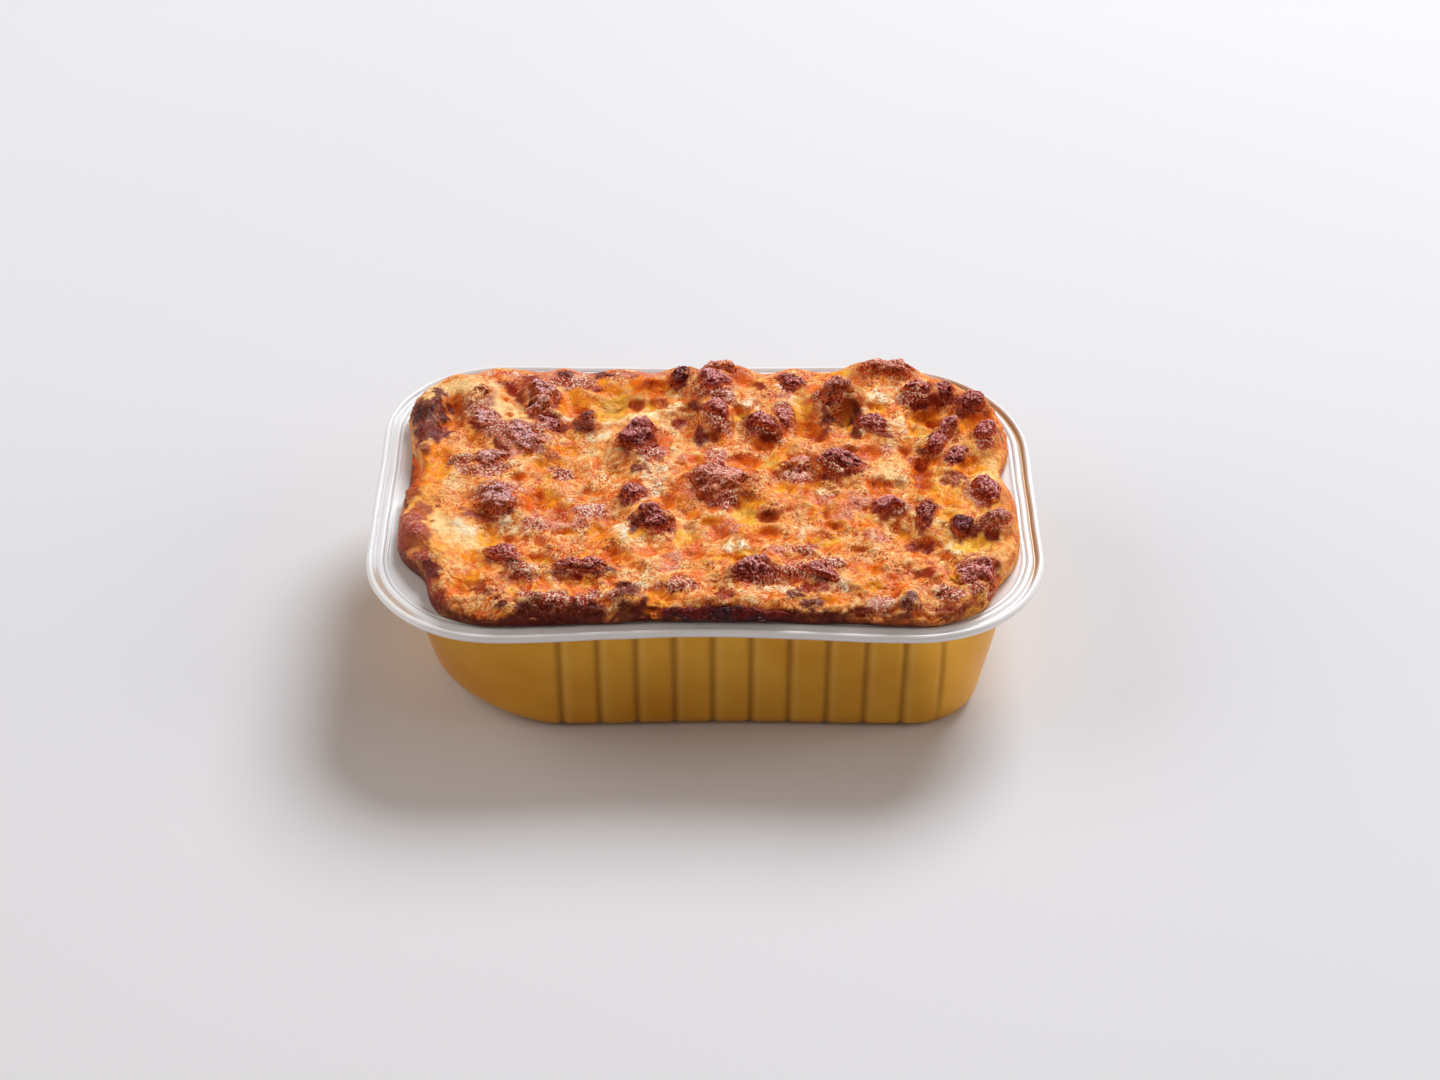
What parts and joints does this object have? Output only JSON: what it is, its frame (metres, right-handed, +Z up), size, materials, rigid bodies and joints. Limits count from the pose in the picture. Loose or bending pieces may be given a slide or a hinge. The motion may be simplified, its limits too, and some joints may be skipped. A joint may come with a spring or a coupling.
{
  "type": "lasagna in foil tray",
  "caption": "Baked lasagna with a browned, lumpy crust of cheese and mince, in an oblong fluted foil tray with rounded corners and a rolled white rim.",
  "frame": {"origin": "centre of the tray's flat base, on the surface it stands on", "axes": "+X along the tray's length, +Y away from the side seen first, +Z up"},
  "size_m": [0.215, 0.147, 0.0635],
  "materials": {
    "foil": "smooth foil, satin gold lacquer outside, white lacquer inside and on the rim",
    "crust": "browned cheese and sauce, golden to deep orange, oily gloss in the hollows",
    "mince": "browned mince, red-brown to purple-brown, coarse and half dry",
    "burnt": "charred pasta edge, near black with brown ends"
  },
  "bodies": {
    "root": {"foil_tray": "foil", "lasagna": "crust", "burnt_pasta_edge": "burnt", "mince_crumble_01": "mince", "mince_crumble_02": "mince", "mince_crumble_03": "mince", "mince_crumble_04": "mince", "mince_crumble_05": "mince", "mince_crumble_06": "mince", "mince_crumble_07": "mince", "mince_crumble_08": "mince", "mince_crumble_09": "mince", "mince_crumble_10": "mince", "mince_crumble_11": "mince", "mince_crumble_12": "mince", "mince_crumble_13": "mince", "mince_crumble_14": "mince", "mince_crumble_15": "mince", "mince_crumble_16": "mince", "mince_crumble_17": "mince", "mince_crumble_18": "mince", "mince_crumble_19": "mince", "mince_crumble_20": "mince", "mince_crumble_21": "mince", "mince_crumble_22": "mince", "mince_crumble_23": "mince", "mince_crumble_24": "mince", "mince_crumble_25": "mince", "mince_crumble_26": "mince", "mince_crumble_27": "mince", "mince_crumble_28": "mince", "mince_crumble_29": "mince", "mince_crumble_30": "mince", "mince_crumble_31": "mince", "mince_crumble_32": "mince", "mince_crumble_33": "mince", "mince_crumble_34": "mince", "mince_crumble_35": "mince", "mince_crumble_36": "mince", "mince_crumble_37": "mince", "mince_crumble_38": "mince", "mince_crumble_39": "mince", "mince_crumble_40": "mince", "mince_crumble_41": "mince"}
  },
  "joints": []
}
